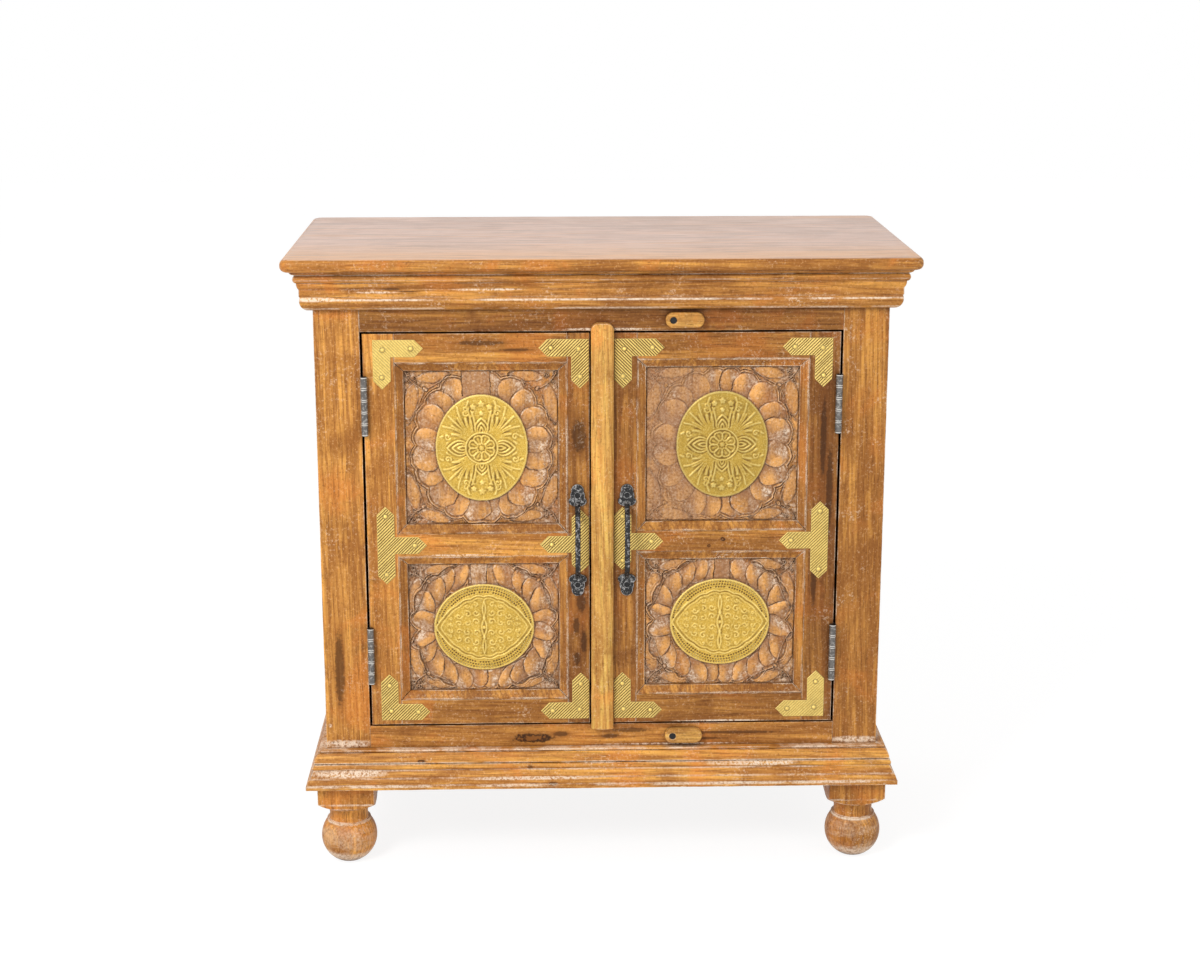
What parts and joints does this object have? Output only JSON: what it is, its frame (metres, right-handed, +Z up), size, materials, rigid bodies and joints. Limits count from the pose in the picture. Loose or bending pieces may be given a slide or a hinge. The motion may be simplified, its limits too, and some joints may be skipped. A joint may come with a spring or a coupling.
{
  "type": "carved cabinet",
  "caption": "Low wooden cabinet on ball feet with two hinged doors, carved panels, brass medallions and corner plates, iron pulls and turn buttons.",
  "frame": {"origin": "floor level, below the centre of the top board", "axes": "+X to the right as one faces the doors, +Y to the back, +Z up"},
  "size_m": [0.88, 0.47, 0.9],
  "materials": {
    "honey_wood": "worn wax with traces of whitewash",
    "top_wood": "waxed",
    "pale_wood": "worn wax",
    "plain_wood": "unfinished",
    "hatched_brass": "hatched and aged",
    "embossed_brass": "embossed and aged",
    "nail_brass": "domed, aged",
    "pull_iron": "black, satin",
    "hinge_steel": "darkened",
    "screw_steel": "darkened"
  },
  "bodies": {
    "cabinet": {"back_panel": "plain_wood", "cornice_front": "honey_wood", "cornice_sides": "honey_wood", "floor_board": "plain_wood", "frame_screws": "screw_steel", "front_bottom_rail": "honey_wood", "front_left_foot": "honey_wood", "front_left_post": "honey_wood", "front_right_foot": "honey_wood", "front_right_post": "honey_wood", "front_top_rail": "honey_wood", "hinge_frame_leaves": "hinge_steel", "hinge_pins": "hinge_steel", "left_side_panel": "honey_wood", "left_side_rails": "honey_wood", "plinth_front": "honey_wood", "plinth_sides": "honey_wood", "rear_left_foot": "honey_wood", "rear_left_post": "honey_wood", "rear_rails": "plain_wood", "rear_right_foot": "honey_wood", "rear_right_post": "honey_wood", "right_side_panel": "honey_wood", "right_side_rails": "honey_wood", "shelf": "plain_wood", "shelf_cleats": "plain_wood", "top_board": "top_wood"},
    "left_door": {"left_brass_plates": "hatched_brass", "left_door_bottom_rail": "honey_wood", "left_door_mid_rail": "honey_wood", "left_door_mouldings": "honey_wood", "left_door_screws": "screw_steel", "left_door_top_rail": "honey_wood", "left_hinge_leaves": "hinge_steel", "left_hinge_stile": "honey_wood", "left_lower_medallion": "embossed_brass", "left_lower_panel": "honey_wood", "left_meeting_stile": "honey_wood", "left_plate_nails": "nail_brass", "left_pull": "pull_iron", "left_upper_medallion": "embossed_brass", "left_upper_panel": "honey_wood"},
    "right_door": {"astragal": "pale_wood", "right_brass_plates": "hatched_brass", "right_door_bottom_rail": "honey_wood", "right_door_mid_rail": "honey_wood", "right_door_mouldings": "honey_wood", "right_door_screws": "screw_steel", "right_door_top_rail": "honey_wood", "right_hinge_leaves": "hinge_steel", "right_hinge_stile": "honey_wood", "right_lower_medallion": "embossed_brass", "right_lower_panel": "honey_wood", "right_meeting_stile": "honey_wood", "right_plate_nails": "nail_brass", "right_pull": "pull_iron", "right_upper_medallion": "embossed_brass", "right_upper_panel": "honey_wood"},
    "top_button": {"top_turn_button": "pale_wood"},
    "bottom_button": {"bottom_turn_button": "pale_wood"}
  },
  "joints": [
    {"name": "left_door_swing", "type": "hinge", "parent": "cabinet", "child": "left_door", "pos_m": [-0.33175, -0.20055, 0.5], "axis": [0, 0, -1], "range_deg": [0, 175]},
    {"name": "right_door_swing", "type": "hinge", "parent": "cabinet", "child": "right_door", "pos_m": [0.33175, -0.20055, 0.5], "axis": [0, 0, 1], "range_deg": [0, 175]},
    {"name": "top_button_turn", "type": "hinge", "parent": "cabinet", "child": "top_button", "pos_m": [0.0985, -0.201, 0.81], "axis": [0, 1, 0], "range_deg": [0, 180]},
    {"name": "bottom_button_turn", "type": "hinge", "parent": "cabinet", "child": "bottom_button", "pos_m": [0.102, -0.201, 0.1985], "axis": [0, -1, 0], "range_deg": [0, 180]}
  ]
}
